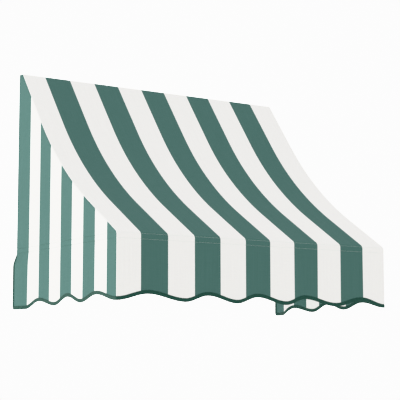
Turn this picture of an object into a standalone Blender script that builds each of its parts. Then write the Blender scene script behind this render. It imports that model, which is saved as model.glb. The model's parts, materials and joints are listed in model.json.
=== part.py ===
"""A fixed window awning: a tube frame that hangs on the wall, under a striped canvas cover.

X runs along the wall, the wall is the plane y = 0, the front faces -Y and +Z is up.
The origin is on the back of the middle head bracket, midway between its two screw holes.
"""

from math import cos, degrees, pi, radians, sin, sqrt, tan

import bmesh
import bpy
from mathutils import Matrix, Vector

# Driving dimensions, in metres
WIDTH = 1.0287  # over the outside of both side covers
REACH = 0.634  # front bar's centre out from the wall
RISE = 0.570  # head rail's centre above the front bar's
UPPER_SLOPE = radians(52.9)  # rafter below the head rail
LOWER_SLOPE = radians(32.0)  # rafter above the front bar
BEND_RADIUS = 1.2  # of the rafter's centre line
VALANCE_DROP = 0.1905  # front bar's centre down to the cloth's lowest edge

TUBE_RADIUS = 0.0127
TUBE_WALL = 0.00165
CLOTH = 0.0012
GAP = 0.0003  # between pieces that touch
PLATE = 0.003  # bracket's thickness
BRACKET_WIDTH = 0.040
BRACKET_HOLE_PITCH = 0.018
BRACKET_TOP = 0.011  # plate's upper end, above the tube's centre
BRACKET_FOOT = 0.062  # plate's lower end, below it
CRADLE_ROOT = radians(54.3 - 90)  # where the cradle's outer curve leaves the plate
CRADLE_TIP = radians(-170)
CRADLE_EASE = radians(6)  # the outer curve starts this much past its root
LAG_HOLE = 0.00275  # radius
HOLE_SIDES = 12
LAG_HOLE_SIDES = 14
TUBE_SIDES = 18
BEND_STEPS = 8

# The scalloped edge: places along it, and how far each stands above the lowest point
SCALLOP = 0.0205
FRONT_WAVE = (0, 0.110, 0.239, 0.322, 0.429, 0.508, 0.617, 0.694, 0.818, 0.927, WIDTH)
SIDE_WAVE = (0, 0.117, 0.210, 0.295, 0.378, 0.486, 0.571)
SIDE_HEIGHTS = (0, SCALLOP, 0, SCALLOP, -0.003, 0.014, -0.009)
WAVE_STEPS = 4  # points on each rise or fall

# The loose rear edge of each side valance curls out and forward, below the rail
FLARE_OUT = 0.022
FLARE_FORWARD = 0.020
FLARE_LENGTH = 0.13
FLARE_FALL = 0.05
FLARE_TOP = 0.010

TAPE = 0.0008  # edge binding's thickness
TAPE_LEG = 0.010
TAPE_GAP = 0.0009
HEM_CORNER = 0.011  # radius of the rear corners

# Derived places
CENTRE_TO_WALL = PLATE + GAP + TUBE_RADIUS
CLOTH_INSIDE = TUBE_RADIUS + GAP
CLOTH_OUTSIDE = CLOTH_INSIDE + CLOTH
SIDE_X = WIDTH / 2 - CLOTH_OUTSIDE
HEAD_Z = 0.039
BAR_Z = HEAD_Z - RISE
HEAD = Vector((0, -CENTRE_TO_WALL, HEAD_Z))
BAR = Vector((0, -REACH, BAR_Z))
FOOT = Vector((0, -CENTRE_TO_WALL, BAR_Z))
X = Vector((1, 0, 0))
Y = Vector((0, 1, 0))
Z = Vector((0, 0, 1))
REAR_EDGE = -0.001  # cloth stops just short of the wall

HEAD_BRACKETS = (-0.420, 0, 0.420)  # along the head rail
POST_BRACKET = 0.075  # up each wall post

# How far each cast corner reaches from its centre before the tube starts
SHORT_STUB = 0.020
HEAD_STUB = 0.043
FRONT_STUB = 0.049
SPIGOT_LENGTH = 0.026
SPIGOT_RADIUS = 0.0105
BALL_RADIUS = 0.01285  # just proud of the tubes
ARM_STAGGER = 0.0006
WEB_WIDTH = 0.0104
SCREW_FROM_END = 0.013
SCREW_HOLE = 0.0024
SHANK_RADIUS = 0.0021
SHANK_LENGTH = 0.0100
SCREW_HEAD_RADIUS = 0.0042
SCREW_HEAD_HEIGHT = 0.0026
SCREW_SIDES = 8
HOLE_REACH = TUBE_RADIUS * 1.5  # a screw hole's cutter goes through one wall only

# Straps: how long they are, or how far their ends stay from the ends of their tube
FRONT_STRAP = 0.880
HEAD_STRAP = 0.360
HEAD_STRAP_STARTS = (-0.390, 0.030)
HEAD_STRAP_RISE = 0.0115  # it stands this far up behind the rail
SIDE_RAIL_STRAP_ENDS = (0.070, 0.135)
WALL_POST_STRAP_ENDS = (0.105, 0.115)
RAFTER_STRAP_ENDS = (0.110, 0.135)


def clear_scene():
    for thing in list(bpy.data.objects):
        bpy.data.objects.remove(thing, do_unlink=True)


def finish(name, colour, roughness, metallic=0.0):
    material = bpy.data.materials.new(name)
    material.use_nodes = True
    shader = material.node_tree.nodes["Principled BSDF"]
    shader.inputs["Base Color"].default_value = (*colour, 1)
    shader.inputs["Roughness"].default_value = roughness
    shader.inputs["Metallic"].default_value = metallic
    return material


def face_outwards(bm):
    bmesh.ops.recalc_face_normals(bm, faces=bm.faces)
    if bm.calc_volume(signed=True) < 0:
        bmesh.ops.reverse_faces(bm, faces=bm.faces)


def add_object(name, bm, material, smooth_angle=None):
    face_outwards(bm)
    mesh = bpy.data.meshes.new(name)
    bm.to_mesh(mesh)
    bm.free()
    if smooth_angle:
        mesh.shade_smooth()
        mesh.set_sharp_from_angle(angle=smooth_angle)
    mesh.materials.append(material)
    piece = bpy.data.objects.new(name, mesh)
    bpy.context.scene.collection.objects.link(piece)
    return piece


def cut(piece, cutters, name="cut"):
    """Takes each cutter mesh, built as a bmesh, out of the piece."""
    for number, cutter_bm in enumerate(cutters):
        cutter = boolean_helper(f"{piece.name}_{name}_{number}", cutter_bm)
        modifier = piece.modifiers.new(f"{name}_{number}", "BOOLEAN")
        modifier.operation = "DIFFERENCE"
        modifier.object = cutter


def boolean_helper(name, bm):
    face_outwards(bm)
    mesh = bpy.data.meshes.new(name)
    bm.to_mesh(mesh)
    bm.free()
    helper = bpy.data.objects.new(name, mesh)
    helper.hide_render = True
    helper.display_type = "WIRE"
    bpy.context.scene.collection.objects.link(helper)
    return helper


def along(direction):
    """Rotation that turns +Z to the direction."""
    return Z.rotation_difference(direction).to_matrix().to_4x4()


def rod(radius, start, direction, length, sides):
    bm = bmesh.new()
    bmesh.ops.create_cone(
        bm,
        cap_ends=True,
        segments=sides,
        radius1=radius,
        radius2=radius,
        depth=length,
        matrix=Matrix.Translation(start + direction * length / 2) @ along(direction),
    )
    return bm


# The side outline that the rafters, the cover and its straps share

UP_SLOPE_DIRECTION = Vector((0, cos(UPPER_SLOPE), sin(UPPER_SLOPE)))
LOW_SLOPE_DIRECTION = Vector((0, cos(LOWER_SLOPE), sin(LOWER_SLOPE)))
SLOPE_CHANGE = UPPER_SLOPE - LOWER_SLOPE
BEND_TANGENT = BEND_RADIUS * tan(SLOPE_CHANGE / 2)


def slope_normal(angle):
    return Vector((0, -sin(angle), cos(angle)))


def straight_lengths():
    """Distances from the front bar and from the head rail to where their lines would cross."""
    span = HEAD - BAR
    across = sin(SLOPE_CHANGE)
    low = (span.y * sin(UPPER_SLOPE) - span.z * cos(UPPER_SLOPE)) / across
    high = (span.z * cos(LOWER_SLOPE) - span.y * sin(LOWER_SLOPE)) / across
    return low - BEND_TANGENT, high - BEND_TANGENT


LOW_STRAIGHT, HIGH_STRAIGHT = straight_lengths()
BEND_START = HEAD - UP_SLOPE_DIRECTION * HIGH_STRAIGHT
BEND_CENTRE = BEND_START + slope_normal(UPPER_SLOPE) * BEND_RADIUS


def arc(centre, radius, first, last, steps):
    """Points on a circle in the YZ plane, whose angles run from +Y towards +Z."""
    turn = (last - first) / steps
    return [
        centre + radius * Vector((0, cos(first + turn * i), sin(first + turn * i)))
        for i in range(steps + 1)
    ]


def outline(offset):
    """The roof line at a height above the rafters' centre, from the wall to the valance."""
    points = [Vector((0, REAR_EDGE, HEAD_Z + offset))]
    points += arc(HEAD, offset, pi / 2, pi / 2 + UPPER_SLOPE, 5)
    points += arc(
        BEND_CENTRE,
        BEND_RADIUS - offset,
        UPPER_SLOPE - pi / 2,
        LOWER_SLOPE - pi / 2,
        BEND_STEPS,
    )
    points += arc(BAR, offset, pi / 2 + LOWER_SLOPE, pi, 6)
    return points


# The scalloped edge


def wave_points(places, heights):
    """(place, height) along smooth rises and falls between each low and high."""
    points = []
    for i in range(len(places) - 1):
        for step in range(WAVE_STEPS):
            part = step / WAVE_STEPS
            blend = (1 - cos(pi * part)) / 2
            place = places[i] + (places[i + 1] - places[i]) * part
            points.append((place, heights[i] + (heights[i + 1] - heights[i]) * blend))
    points.append((places[-1], heights[-1]))
    return points


def front_wave():
    heights = [SCALLOP * (i % 2) for i in range(len(FRONT_WAVE))]
    return [(x - WIDTH / 2, z) for x, z in wave_points(FRONT_WAVE, heights)]


LOWEST_Z = BAR_Z - VALANCE_DROP


FLARE_STEPS = 6
FLARE_ROWS = [
    BAR_Z - FLARE_TOP - FLARE_FALL * step / FLARE_STEPS for step in range(FLARE_STEPS + 1)
]
TAPE_TOP_ROW = 1  # the tape starts one row below this
FLARE_COLUMNS = [REAR_EDGE - FLARE_LENGTH * step / 8 for step in range(8, 0, -1)]


def smoothstep(value):
    value = min(max(value, 0.0), 1.0)
    return value * value * (3 - 2 * value)


def flared(point, side):
    """Moves a point of a side valance out and forward near its free rear edge."""
    back = smoothstep(1 + (point.y - REAR_EDGE) / FLARE_LENGTH)
    down = smoothstep((BAR_Z - FLARE_TOP - point.z) / FLARE_FALL)
    return point + Vector((side * FLARE_OUT, -FLARE_FORWARD, 0)) * (back * down)


# Frame


def tube_section(bm):
    """A flat ring around the origin, ready to extrude along +Z."""
    rings = []
    for radius in (TUBE_RADIUS, TUBE_RADIUS - TUBE_WALL):
        made = bmesh.ops.create_circle(bm, segments=TUBE_SIDES, radius=radius)
        rings += list({edge for vert in made["verts"] for edge in vert.link_edges})
    bmesh.ops.bridge_loops(bm, edges=rings)
    return list(bm.faces)


def with_edges(faces):
    """The faces and their edges, so that an extrusion takes the old end away."""
    return list(faces) + list({edge for face in faces for edge in face.edges})


def extrude_by(bm, faces, move):
    """Extrudes the faces and returns the faces of the moved end."""
    made = bmesh.ops.extrude_face_region(bm, geom=with_edges(faces))
    verts = [item for item in made["geom"] if isinstance(item, bmesh.types.BMVert)]
    bmesh.ops.translate(bm, verts=verts, vec=move)
    return [item for item in made["geom"] if isinstance(item, bmesh.types.BMFace)]


def straight_tube(name, start, end, screw_direction, material, clamped=()):
    """A tube with a screw hole near each end, and one at each bracket that clamps it."""
    direction = (end - start).normalized()
    bm = bmesh.new()
    ring = tube_section(bm)
    extrude_by(bm, ring, Z * (end - start).length)
    bmesh.ops.transform(
        bm, matrix=Matrix.Translation(start) @ along(direction), verts=bm.verts
    )
    piece = add_object(name, bm, material, radians(35))
    places = [start + direction * SCREW_FROM_END, end - direction * SCREW_FROM_END, *clamped]
    cut(piece, [rod(SCREW_HOLE, p, screw_direction, HOLE_REACH, HOLE_SIDES) for p in places])
    return piece


def swept_down_rafter(bm, section, start_distance, end_distance, side):
    """Extrudes a section, drawn around the origin in XY, down the rafter's line.

    The distances are from the head rail and from the front bar, along the rafter.
    """
    start = HEAD - UP_SLOPE_DIRECTION * start_distance + X * side * SIDE_X
    frame = Matrix((X, slope_normal(UPPER_SLOPE), -UP_SLOPE_DIRECTION)).transposed()
    bmesh.ops.transform(
        bm, matrix=Matrix.Translation(start) @ frame.to_4x4(), verts=bm.verts
    )
    end = extrude_by(bm, section, -UP_SLOPE_DIRECTION * (HIGH_STRAIGHT - start_distance))
    spun = bmesh.ops.spin(
        bm,
        geom=with_edges(end),
        cent=BEND_CENTRE + X * side * SIDE_X,
        axis=X,
        angle=-SLOPE_CHANGE,
        steps=BEND_STEPS,
        use_duplicate=False,
    )
    last = [item for item in spun["geom_last"] if isinstance(item, bmesh.types.BMFace)]
    extrude_by(bm, last, -LOW_SLOPE_DIRECTION * (LOW_STRAIGHT - end_distance))


def rafter(side, label, material):
    bm = bmesh.new()
    ring = tube_section(bm)
    swept_down_rafter(bm, ring, HEAD_STUB + GAP, FRONT_STUB + GAP, side)
    piece = add_object(f"rafter_{label}", bm, material, radians(35))
    inboard = -side * X
    cut(piece, [rod(SCREW_HOLE, p, inboard, HOLE_REACH, HOLE_SIDES) for p in rafter_screws(side)])
    return piece


def rafter_screws(side):
    """Where the screws' axes cross the rafter's centre line."""
    shift = X * side * SIDE_X
    return (
        HEAD + shift - UP_SLOPE_DIRECTION * (HEAD_STUB + GAP + SCREW_FROM_END),
        BAR + shift + LOW_SLOPE_DIRECTION * (FRONT_STUB + GAP + SCREW_FROM_END),
    )


def turned(profile, sides):
    """A solid turned around +Z, from its (radius, height) steps."""
    bm = bmesh.new()
    radius, height = profile[0]
    bmesh.ops.create_circle(
        bm,
        cap_ends=True,
        segments=sides,
        radius=radius,
        matrix=Matrix.Translation(Z * height),
    )
    end = list(bm.faces)
    for wider, higher in profile[1:]:
        end = extrude_by(bm, end, Z * (higher - height))
        verts = [vert for face in end for vert in face.verts]
        bmesh.ops.scale(bm, vec=(wider / radius, wider / radius, 1), verts=verts)
        radius, height = wider, higher
    return bm


def stepped_plug(centre, direction, stub, number):
    """One arm of a cast corner: a stub as thick as the tube, then the spigot inside it.

    The number turns each arm's facets a little, so that no two arms' edges coincide.
    """
    tip = stub + SPIGOT_LENGTH
    bm = turned(
        (
            (TUBE_RADIUS, ARM_STAGGER * (number + 1)),
            (TUBE_RADIUS, stub),
            (SPIGOT_RADIUS, stub),
            (SPIGOT_RADIUS, tip - 0.001),
            (SPIGOT_RADIUS - 0.001, tip),
        ),
        TUBE_SIDES,
    )
    facets = Matrix.Rotation(0.1 * (number + 1), 4, "Z")
    bmesh.ops.transform(
        bm, matrix=Matrix.Translation(centre) @ along(direction) @ facets, verts=bm.verts
    )
    return bm


def web_between(centre, one, two, reach):
    """The cast web that fills the narrow angle between two arms."""
    bm = bmesh.new()
    corners = [
        centre - (one + two).normalized() * 0.001,
        centre + one * reach,
        centre + two * reach,
    ]
    face = bm.faces.new([bm.verts.new(p - X * WEB_WIDTH / 2) for p in corners])
    extrude_by(bm, [face], X * WEB_WIDTH)
    return bm


def cast_corner(name, centre, arms, material):
    """A ball with an arm for each tube. Each arm is (direction, stub, screw direction)."""
    bm = bmesh.new()
    bmesh.ops.create_uvsphere(bm, u_segments=14, v_segments=8, radius=BALL_RADIUS)
    turn = Matrix.Rotation(0.3, 4, Vector((1, 1, 1)))
    bmesh.ops.transform(bm, matrix=Matrix.Translation(centre) @ turn, verts=bm.verts)
    piece = add_object(name, bm, material, radians(35))
    solids = [
        stepped_plug(centre, direction, stub, number)
        for number, (direction, stub, _) in enumerate(arms)
    ]
    if len(arms) == 3:
        solids.append(web_between(centre, arms[1][0], arms[2][0], arms[1][1] - 0.0007))
    for number, solid in enumerate(solids):
        union = piece.modifiers.new(f"arm_{number}", "BOOLEAN")
        union.operation = "UNION"
        union.object = boolean_helper(f"{name}_arm_{number}", solid)
    holes = [
        rod(
            SCREW_HOLE,
            centre + direction * (stub + GAP + SCREW_FROM_END),
            screw_direction,
            TUBE_RADIUS,
            12,
        )
        for direction, stub, screw_direction in arms
    ]
    cut(piece, holes)
    return piece


def pan_screw(name, axis_point, direction, seat, material):
    """A pan head screw, its head on the seat radius and its shank pointing at the axis."""
    bm = turned(
        (
            (SHANK_RADIUS * 0.4, -SHANK_LENGTH),
            (SHANK_RADIUS, -SHANK_LENGTH * 0.75),
            (SHANK_RADIUS, 0),
            (SCREW_HEAD_RADIUS, 0),
            (SCREW_HEAD_RADIUS, SCREW_HEAD_HEIGHT * 0.45),
            (SCREW_HEAD_RADIUS * 0.62, SCREW_HEAD_HEIGHT),
        ),
        SCREW_SIDES,
    )
    place = axis_point + direction * (seat + GAP)
    bmesh.ops.transform(
        bm, matrix=Matrix.Translation(place) @ along(direction), verts=bm.verts
    )
    return add_object(name, bm, material, radians(35))


def bracket_section(bm):
    """Wall plate with a half-round cradle, in the YZ plane, around the tube's centre."""
    outer = CLOTH_INSIDE + PLATE
    meets = sqrt(outer**2 - CLOTH_INSIDE**2)
    centre = Vector()
    points = [
        Vector((0, CENTRE_TO_WALL, BRACKET_TOP)),
        Vector((0, CENTRE_TO_WALL, -BRACKET_FOOT)),
        Vector((0, CLOTH_INSIDE, -BRACKET_FOOT)),
        Vector((0, CLOTH_INSIDE, -meets)),
    ]
    points += arc(centre, outer, CRADLE_ROOT - CRADLE_EASE, CRADLE_TIP, 9)
    points += arc(centre, CLOTH_INSIDE, CRADLE_TIP, 0, 12)
    points.append(Vector((0, CLOTH_INSIDE, BRACKET_TOP)))
    return bm.faces.new([bm.verts.new(point) for point in points])


def wall_bracket(name, centre, turn, material):
    """The turn, about Y, swings the plate from hanging down to lying inboard."""
    bm = bmesh.new()
    face = bracket_section(bm)
    bmesh.ops.translate(bm, verts=bm.verts, vec=-X * BRACKET_WIDTH / 2)
    extrude_by(bm, [face], X * BRACKET_WIDTH)
    place = Matrix.Translation(centre) @ Matrix.Rotation(turn, 4, "Y")
    bmesh.ops.transform(bm, matrix=place, verts=bm.verts)
    piece = add_object(name, bm, material, radians(35))
    middle = -HEAD_Z
    holes = [
        rod(LAG_HOLE, place @ Vector((0, -0.004, middle + step)), Y, 0.03, LAG_HOLE_SIDES)
        for step in (-BRACKET_HOLE_PITCH / 2, BRACKET_HOLE_PITCH / 2)
    ]
    down = (place @ Vector((0, 0, -1))) - (place @ Vector())
    holes.append(rod(SCREW_HOLE, centre + down * 0.008, down, 0.012, HOLE_SIDES))
    cut(piece, holes)
    return piece


# Cover


def roof_cover(material):
    bm = bmesh.new()
    line = [bm.verts.new(p - X * WIDTH / 2) for p in outline(CLOTH_OUTSIDE)]
    edges = [bm.edges.new(pair) for pair in zip(line, line[1:])]
    made = bmesh.ops.extrude_edge_only(bm, edges=edges)
    far = [item for item in made["geom"] if isinstance(item, bmesh.types.BMVert)]
    bmesh.ops.translate(bm, verts=far, vec=X * WIDTH)
    hem_height = min(vert.co.z for vert in bm.verts)
    top = [e for e in bm.edges if all(v.co.z < hem_height + 1e-6 for v in e.verts)]
    made = bmesh.ops.extrude_edge_only(bm, edges=top)
    low = [item for item in made["geom"] if isinstance(item, bmesh.types.BMVert)]
    bmesh.ops.translate(bm, verts=low, vec=Z * (LOWEST_Z - hem_height))
    wave = front_wave()
    hem = [e for e in bm.edges if all(v in low for v in e.verts)]
    bmesh.ops.subdivide_edges(bm, edges=hem, cuts=len(wave) - 2)
    hem_verts = sorted(
        (v for v in bm.verts if v.co.z < LOWEST_Z + 1e-6), key=lambda v: v.co.x
    )
    for vert, (place, height) in zip(hem_verts, wave):
        vert.co.x = place
        vert.co.z = LOWEST_Z + height
    return cloth("roof_cover", bm, material)


def cloth(name, bm, material):
    """A sheet drawn at its outer face, given its thickness inwards."""
    bmesh.ops.recalc_face_normals(bm, faces=bm.faces)
    centre = Vector((0, -REACH / 2, BAR_Z))
    face = max(bm.faces, key=lambda f: f.calc_area())
    if face.normal.dot(face.calc_center_median() - centre) < 0:
        bmesh.ops.reverse_faces(bm, faces=bm.faces)
    mesh = bpy.data.meshes.new(name)
    bm.to_mesh(mesh)
    bm.free()
    mesh.materials.append(material)
    piece = bpy.data.objects.new(name, mesh)
    bpy.context.scene.collection.objects.link(piece)
    solidify = piece.modifiers.new("thickness", "SOLIDIFY")
    solidify.thickness = CLOTH
    solidify.offset = -1
    return piece


def side_outline():
    """From the roof's rear corner, forward and down to the hem, then back along it."""
    points = outline(TUBE_RADIUS)
    front = points[-1].y
    for back, height in wave_points(SIDE_WAVE, SIDE_HEIGHTS):
        points.append(Vector((0, front + back, LOWEST_Z + height)))
    rear_z = points[-1].z
    behind = [y for y in FLARE_COLUMNS if points[-1].y < y < REAR_EDGE - HEM_CORNER]
    points += [Vector((0, y, rear_z)) for y in behind]
    centre = Vector((0, REAR_EDGE - HEM_CORNER, rear_z + HEM_CORNER))
    return points + arc(centre, HEM_CORNER, -pi / 2, 0, 4)


def side_cover(side, label, material):
    bm = bmesh.new()
    bm.faces.new([bm.verts.new(p + X * side * WIDTH / 2) for p in side_outline()])
    planes = [(Vector((0, 0, z)), Z) for z in FLARE_ROWS]
    planes += [(Vector((0, y, 0)), Y) for y in FLARE_COLUMNS]
    for point, normal in planes:
        bmesh.ops.bisect_plane(
            bm,
            geom=list(bm.verts) + list(bm.edges) + list(bm.faces),
            dist=1e-5,
            plane_co=point,
            plane_no=normal,
        )
    bmesh.ops.triangulate(bm, faces=bm.faces)
    for vert in bm.verts:
        vert.co = flared(vert.co, side)
    return cloth(f"side_cover_{label}", bm, material)


def binding_route():
    """The hem's mid-line, before it curls, from one rear edge round the front to the other.

    Each station is (point, the cloth's outward direction, side or 0 for the front).
    """
    half = WIDTH / 2 - CLOTH / 2
    front_y = BAR.y - CLOTH_OUTSIDE + CLOTH / 2
    line = [(p.y, p.z) for p in side_outline()[len(outline(TUBE_RADIUS)) + 1 :]]
    line += [(REAR_EDGE, z) for z in FLARE_ROWS[:TAPE_TOP_ROW:-1]]

    def side_stations(side):
        return [(Vector((side * half, y, z)), X * side, side) for y, z in line]

    def corner(side):
        return (Vector((side * half, front_y, LOWEST_Z)), Vector((side, -1, 0)), side)

    front = [(Vector((x, front_y, LOWEST_Z + z)), -Y, 0) for x, z in front_wave()[1:-1]]
    left = side_stations(-1)[::-1]
    return left + [corner(-1)] + front + [corner(1)] + side_stations(1)


def binding(material):
    """Tape folded over the cloth's edge, as one strip with a U section."""
    route = binding_route()
    inner = CLOTH / 2 + TAPE_GAP
    outer = inner + TAPE
    section = (
        (outer, -TAPE_LEG),
        (outer, TAPE_GAP + TAPE),
        (-outer, TAPE_GAP + TAPE),
        (-outer, -TAPE_LEG),
        (-inner, -TAPE_LEG),
        (-inner, TAPE_GAP),
        (inner, TAPE_GAP),
        (inner, -TAPE_LEG),
    )
    bm = bmesh.new()
    rings = []
    for i, (point, out, side) in enumerate(route):
        run = route[min(i + 1, len(route) - 1)][0] - route[max(i - 1, 0)][0]
        down = -Z if out.length > 1.1 else run.normalized().cross(out)
        ring = [flared(point + out * a + down * b, side) for a, b in section]
        rings.append([bm.verts.new(place) for place in ring])
    count = len(section)
    for one, two in zip(rings, rings[1:]):
        for k in range(count):
            j = (k + 1) % count
            bm.faces.new((one[k], one[j], two[j], two[k]))
    for ring in (rings[0], rings[-1]):
        bm.faces.new(ring[0:2] + ring[6:8])
        bm.faces.new(ring[1:3] + ring[5:7])
        bm.faces.new(ring[2:6])
    return add_object("edge_binding", bm, material)


# Straps sewn inside the cover, which close round the tubes

STRAP_CENTRE = CLOTH_INSIDE + CLOTH / 2
LEG_CENTRE = CLOTH_INSIDE - GAP - CLOTH / 2
LEG_NEAR = 0.0165
LEG_FAR = 0.026


def ribbon(points):
    """A closed outline, one cloth thick, around an open run of 2-D points."""
    left, right = [], []
    for i, point in enumerate(points):
        before = points[max(i - 1, 0)]
        after = points[min(i + 1, len(points) - 1)]
        a = (point - before).normalized() if i else (after - point).normalized()
        b = (after - point).normalized() if i < len(points) - 1 else a
        mean = (a + b).normalized()
        normal = Vector((-mean.y, mean.x)) / max(mean.dot(a), 0.5)
        left.append(point + normal * CLOTH / 2)
        right.append(point - normal * CLOTH / 2)
    return left + right[::-1]


def circle_points(first, last, steps):
    turn = radians(last - first) / steps
    return [
        STRAP_CENTRE * Vector((cos(radians(first) + turn * i), sin(radians(first) + turn * i)))
        for i in range(steps + 1)
    ]


def leg(angle, side):
    """A strap's end lying on a cloth face whose outward normal has this angle.

    side is +1 or -1, along the face; the far end comes first.
    """
    normal = Vector((cos(radians(angle)), sin(radians(angle))))
    lies = Vector((-normal.y, normal.x)) * side
    return [normal * LEG_CENTRE + lies * LEG_FAR, normal * LEG_CENTRE + lies * LEG_NEAR]


def add_strap(name, section, matrix, length, material):
    """A strap section, drawn in XY around the tube's centre, extruded along the tube."""
    bm = bmesh.new()
    face = bm.faces.new([bm.verts.new((p.x, p.y, 0)) for p in section])
    extrude_by(bm, [face], Z * length)
    bmesh.ops.transform(bm, matrix=matrix, verts=bm.verts)
    return add_object(name, bm, material, radians(35))


def axes(x_axis, y_axis, origin):
    """A frame whose +Z is x_axis cross y_axis."""
    turn = Matrix((x_axis, y_axis, x_axis.cross(y_axis))).transposed()
    return Matrix.Translation(origin) @ turn.to_4x4()


def straps(material):
    # Front bar: from the valance, under the bar and up to the roof. Here x is +Y and y is +Z
    roof_angle = 90 + degrees(LOWER_SLOPE)
    front = leg(180, 1) + circle_points(-115, 20, 9) + leg(roof_angle, -1)[::-1]
    start = BAR - X * FRONT_STRAP / 2
    add_strap("front_strap", ribbon(front), axes(Y, Z, start), FRONT_STRAP, material)

    # Head rail: from the roof, under the rail and up behind it
    head_angle = 90 + degrees(UPPER_SLOPE)
    head = leg(head_angle, 1) + circle_points(-165, 0, 10)
    head.append(Vector((STRAP_CENTRE, HEAD_STRAP_RISE)))
    for label, first in zip(("left", "right"), HEAD_STRAP_STARTS):
        matrix = axes(Y, Z, HEAD + X * first)
        add_strap(f"head_strap_{label}", ribbon(head), matrix, HEAD_STRAP, material)

    for side, label in ((-1, "left"), (1, "right")):
        across = -X * side  # inboard
        shift = X * side * SIDE_X
        # Side rail: from the side cover, over the inboard half of the rail, and back
        wrap = leg(180, -1) + circle_points(110, -110, 12) + leg(180, 1)[::-1]
        start = FOOT + shift - Y * SIDE_RAIL_STRAP_ENDS[0]
        end = BAR + shift + Y * SIDE_RAIL_STRAP_ENDS[1]
        add_strap(
            f"side_rail_strap_{label}",
            ribbon(wrap),
            axes(across, Z, start if side < 0 else end),
            (start - end).length,
            material,
        )
        # Wall post: from the side cover in front of it, round the inboard half to its back
        hug = leg(180, 1) + circle_points(-110, 60, 10)
        foot = FOOT + shift + Z * WALL_POST_STRAP_ENDS[0]
        height = RISE - sum(WALL_POST_STRAP_ENDS)
        flip = axes(across, Y, foot) if side < 0 else axes(across, Y, foot + Z * height)
        add_strap(f"wall_post_strap_{label}", ribbon(hug), flip, height, material)
        # Rafter: from the side cover, under the rafter and up to the roof
        cradle = leg(180, 1) + circle_points(-115, 20, 9) + leg(90, -1)[::-1]
        if side > 0:
            cradle = [Vector((-p.x, p.y)) for p in cradle]
        bm = bmesh.new()
        face = bm.faces.new([bm.verts.new((p.x, p.y, 0)) for p in ribbon(cradle)])
        swept_down_rafter(bm, [face], *RAFTER_STRAP_ENDS, side)
        add_object(f"rafter_strap_{label}", bm, material, radians(35))


def build():
    clear_scene()
    white_steel = finish("powder_coated_steel", (0.80, 0.80, 0.78), 0.45)
    cast = finish("cast_aluminium", (0.62, 0.63, 0.64), 0.5, 1.0)
    zinc = finish("zinc_plated_steel", (0.66, 0.67, 0.66), 0.38, 1.0)
    canvas = finish("striped_canvas", (0.18, 0.34, 0.29), 0.9)
    tape = finish("binding_tape", (0.03, 0.09, 0.06), 0.85)
    webbing = finish("hook_and_loop_strap", (0.75, 0.75, 0.73), 0.9)

    # Tubes along the wall and the front
    reach = SIDE_X - SHORT_STUB - GAP
    clamped = [HEAD + X * offset for offset in HEAD_BRACKETS]
    straight_tube("head_rail", HEAD - X * reach, HEAD + X * reach, -Z, white_steel, clamped)
    straight_tube("front_bar", BAR - X * reach, BAR + X * reach, Y, white_steel)
    for end, label in ((-1, "left"), (1, "right")):
        edge = X * end * (reach - SCREW_FROM_END)
        pan_screw(f"head_rail_screw_{label}", HEAD + edge, -Z, TUBE_RADIUS, zinc)
        pan_screw(f"front_bar_screw_{label}", BAR + edge, Y, TUBE_RADIUS, zinc)

    for side, label in ((-1, "left"), (1, "right")):
        shift = X * side * SIDE_X
        inboard = -X * side
        rafter(side, label, white_steel)
        for place, spot in zip(rafter_screws(side), ("upper", "lower")):
            pan_screw(f"rafter_{spot}_screw_{label}", place, inboard, TUBE_RADIUS, zinc)

        low = FOOT + shift + Z * (SHORT_STUB + GAP)
        high = HEAD + shift - Z * (HEAD_STUB + GAP)
        clamped = [FOOT + shift + Z * POST_BRACKET]
        straight_tube(f"wall_post_{label}", low, high, inboard, white_steel, clamped)
        for place, spot in ((low + Z * SCREW_FROM_END, "lower"), (high - Z * SCREW_FROM_END, "upper")):
            pan_screw(f"wall_post_{spot}_screw_{label}", place, inboard, TUBE_RADIUS, zinc)

        back = FOOT + shift - Y * (SHORT_STUB + GAP)
        front = BAR + shift + Y * (FRONT_STUB + GAP)
        straight_tube(f"side_rail_{label}", front, back, inboard, white_steel)
        for place, spot in ((front + Y * SCREW_FROM_END, "front"), (back - Y * SCREW_FROM_END, "rear")):
            pan_screw(f"side_rail_{spot}_screw_{label}", place, inboard, TUBE_RADIUS, zinc)

        cast_corner(
            f"head_corner_{label}",
            HEAD + shift,
            (
                (inboard, SHORT_STUB, -Z),
                (-UP_SLOPE_DIRECTION, HEAD_STUB, inboard),
                (-Z, HEAD_STUB, inboard),
            ),
            cast,
        )
        cast_corner(
            f"front_corner_{label}",
            BAR + shift,
            (
                (inboard, SHORT_STUB, Y),
                (LOW_SLOPE_DIRECTION, FRONT_STUB, inboard),
                (Y, FRONT_STUB, inboard),
            ),
            cast,
        )
        cast_corner(
            f"wall_corner_{label}",
            FOOT + shift,
            ((Z, SHORT_STUB, inboard), (-Y, SHORT_STUB, inboard)),
            cast,
        )

    # Brackets
    places = [
        ("head_bracket_left", HEAD + X * HEAD_BRACKETS[0], 0.0),
        ("head_bracket_middle", HEAD + X * HEAD_BRACKETS[1], 0.0),
        ("head_bracket_right", HEAD + X * HEAD_BRACKETS[2], 0.0),
        ("post_bracket_left", FOOT - X * SIDE_X + Z * POST_BRACKET, -pi / 2),
        ("post_bracket_right", FOOT + X * SIDE_X + Z * POST_BRACKET, pi / 2),
    ]
    for name, centre, turn in places:
        wall_bracket(name, centre, turn, zinc)
        down = Matrix.Rotation(turn, 3, "Y") @ -Z
        pan_screw(f"{name}_screw", centre, down, CLOTH_INSIDE + PLATE, zinc)

    # Cover
    roof_cover(canvas)
    side_cover(-1, "left", canvas)
    side_cover(1, "right", canvas)
    binding(tape)
    straps(webbing)


build()
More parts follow.
